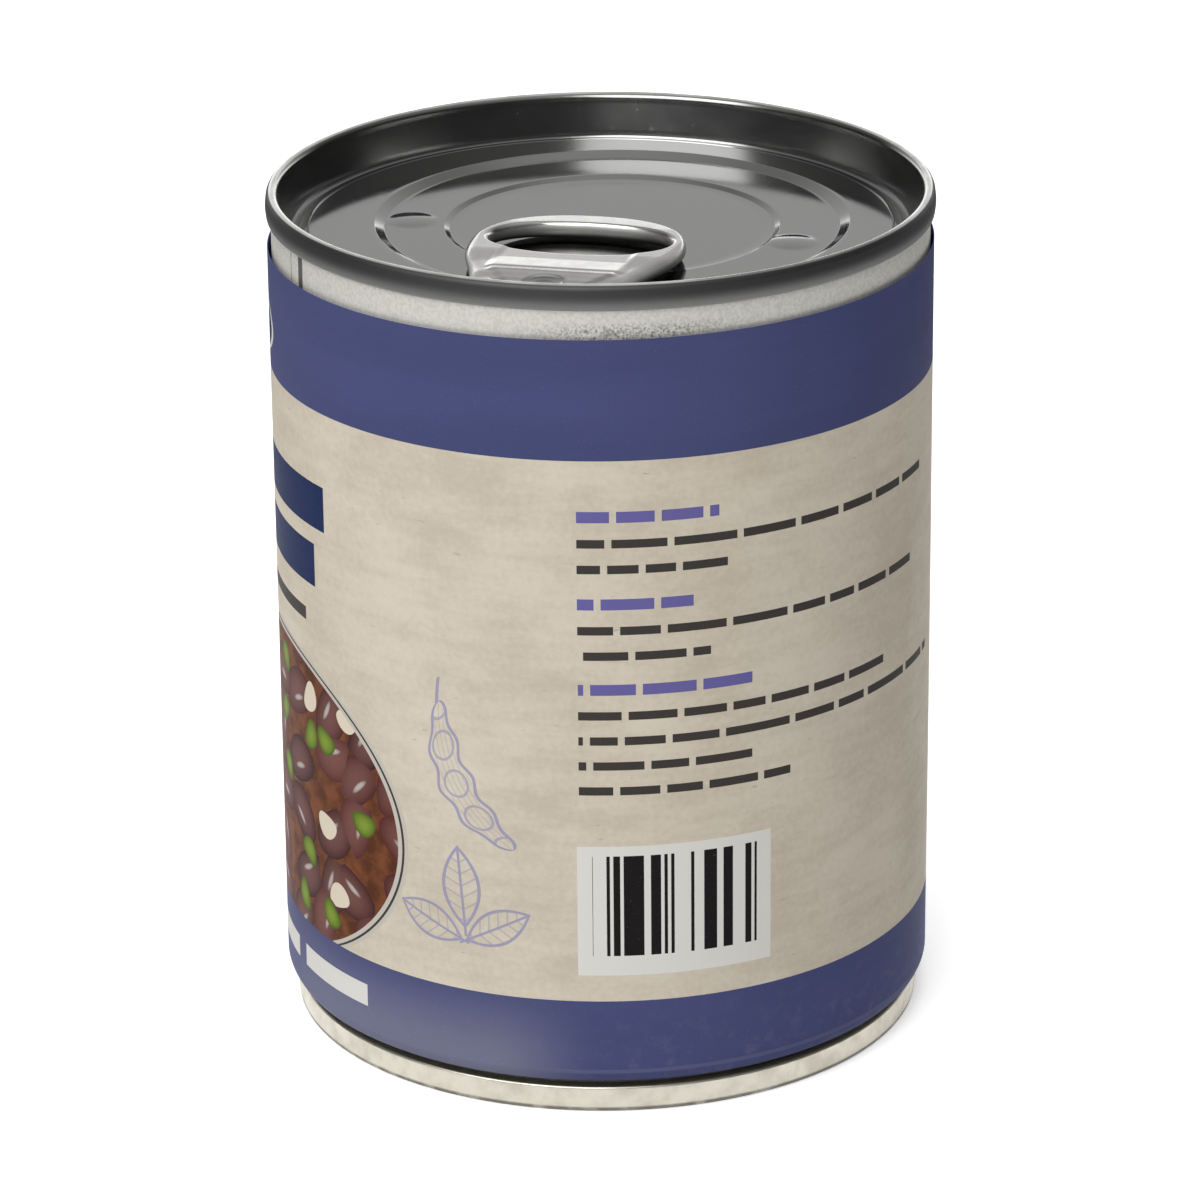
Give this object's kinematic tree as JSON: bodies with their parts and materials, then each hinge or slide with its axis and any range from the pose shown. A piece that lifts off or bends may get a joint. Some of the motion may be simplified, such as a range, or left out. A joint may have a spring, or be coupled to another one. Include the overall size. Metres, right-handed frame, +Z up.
{
  "type": "canned beans",
  "caption": "Shut round food can with a seamed ring-pull lid, a dished beaded base and a wrapped paper label in bands of colour; it stands on its bottom seam.",
  "frame": {"origin": "centre of the foot ring, on the surface that the can stands on", "axes": "+Z up along the can's axis; the pictured side faces -Y, and the tab's nose points to -Y, turned about 12 degrees towards -X"},
  "size_m": [0.0764, 0.0764, 0.099],
  "materials": {
    "body_tinplate": "bright tinplate with a faint mottle",
    "lid_tinplate": "grey lacquered tinplate, smooth and reflective",
    "tab_steel": "bright rolled steel",
    "base_tinplate": "warm satin tinplate",
    "label_paper": "coated paper, parchment field between violet blue bands"
  },
  "bodies": {
    "root": {"can_body": "body_tinplate", "easy_open_end": "lid_tinplate", "pull_tab": "tab_steel", "bottom_end": "base_tinplate", "paper_label": "label_paper"}
  },
  "joints": []
}
